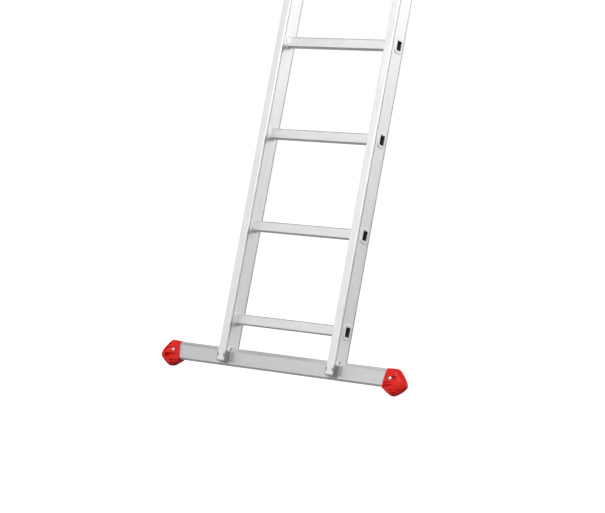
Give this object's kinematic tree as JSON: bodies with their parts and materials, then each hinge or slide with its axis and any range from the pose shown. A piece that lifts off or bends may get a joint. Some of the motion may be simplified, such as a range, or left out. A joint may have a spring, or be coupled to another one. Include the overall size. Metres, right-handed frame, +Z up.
{
  "type": "extension ladder",
  "caption": "Two-section aluminium extension ladder with pivoting rung hooks, leaning as in use, on a stabiliser bar with red foot caps.",
  "frame": {"origin": "on the floor, midway between the two foot caps' soles", "axes": "+Z up; +X to the right of a climber who faces the ladder; +Y the way the ladder leans, towards the wall; the stiles lean back 18 degrees from the vertical"},
  "size_m": [0.8712, 1.203, 3.7876],
  "materials": {
    "stile_aluminium": "satin extruded",
    "rung_aluminium": "satin extruded",
    "bar_aluminium": "satin extruded",
    "guide_aluminium": "satin",
    "rivet_aluminium": "satin",
    "foot_red_plastic": "satin moulded",
    "saddle_grey_plastic": "matte",
    "end_cap_plastic": "matte moulded",
    "glide_plastic": "smooth",
    "screw_steel": "zinc plated",
    "zinc_steel": "zinc plated",
    "hook_steel": "zinc plated"
  },
  "bodies": {
    "base_section": {"base_stile_left": "stile_aluminium", "base_stile_right": "stile_aluminium", "base_rung_1": "rung_aluminium", "base_rung_2": "rung_aluminium", "base_rung_3": "rung_aluminium", "base_rung_4": "rung_aluminium", "base_rung_5": "rung_aluminium", "base_rung_6": "rung_aluminium", "base_rung_7": "rung_aluminium", "base_rung_8": "rung_aluminium", "base_rung_9": "rung_aluminium", "stabiliser_bar": "bar_aluminium", "foot_cap_left": "foot_red_plastic", "foot_cap_right": "foot_red_plastic", "foot_cap_screws": "screw_steel", "stile_saddle_left": "saddle_grey_plastic", "stile_saddle_right": "saddle_grey_plastic", "stile_plug_left": "saddle_grey_plastic", "stile_plug_right": "saddle_grey_plastic", "nut_plate_left": "zinc_steel", "nut_plate_right": "zinc_steel", "bar_bolts": "zinc_steel", "bar_washers": "zinc_steel", "base_top_cap_left": "end_cap_plastic", "base_top_cap_right": "end_cap_plastic", "base_guide_left": "guide_aluminium", "base_guide_right": "guide_aluminium", "base_guide_liner_left": "glide_plastic", "base_guide_liner_right": "glide_plastic", "base_guide_rivets": "rivet_aluminium", "extension_stops": "glide_plastic"},
    "fly_section": {"fly_stile_left": "stile_aluminium", "fly_stile_right": "stile_aluminium", "fly_rung_1": "rung_aluminium", "fly_rung_2": "rung_aluminium", "fly_rung_3": "rung_aluminium", "fly_rung_4": "rung_aluminium", "fly_rung_5": "rung_aluminium", "fly_rung_6": "rung_aluminium", "fly_rung_7": "rung_aluminium", "fly_rung_8": "rung_aluminium", "fly_rung_9": "rung_aluminium", "fly_top_cap_left": "end_cap_plastic", "fly_top_cap_right": "end_cap_plastic", "fly_bottom_cap_left": "end_cap_plastic", "fly_bottom_cap_right": "end_cap_plastic", "fly_guide_left": "guide_aluminium", "fly_guide_right": "guide_aluminium", "fly_guide_liner_left": "glide_plastic", "fly_guide_liner_right": "glide_plastic", "fly_guide_rivets": "rivet_aluminium", "hook_pin_left": "zinc_steel", "hook_pin_right": "zinc_steel", "hook_bushing_left": "glide_plastic", "hook_bushing_right": "glide_plastic", "hook_spring_left": "zinc_steel", "hook_spring_right": "zinc_steel", "hook_nuts": "zinc_steel"},
    "hook_left": {"rung_hook_left": "hook_steel"},
    "hook_right": {"rung_hook_right": "hook_steel"}
  },
  "joints": [
    {"name": "fly_slide", "type": "slide", "parent": "base_section", "child": "fly_section", "axis": [0, 0.309, 0.9511], "range_m": [-1.4, 0.02]},
    {"name": "hook_left_pivot", "type": "hinge", "parent": "fly_section", "child": "hook_left", "pos_m": [-0.1377, 0.42534, 1.54337], "axis": [1, 0, 0], "range_deg": [0, 90]},
    {"name": "hook_right_pivot", "type": "hinge", "parent": "fly_section", "child": "hook_right", "pos_m": [0.1377, 0.42534, 1.54337], "axis": [1, 0, 0], "range_deg": [0, 90]}
  ]
}
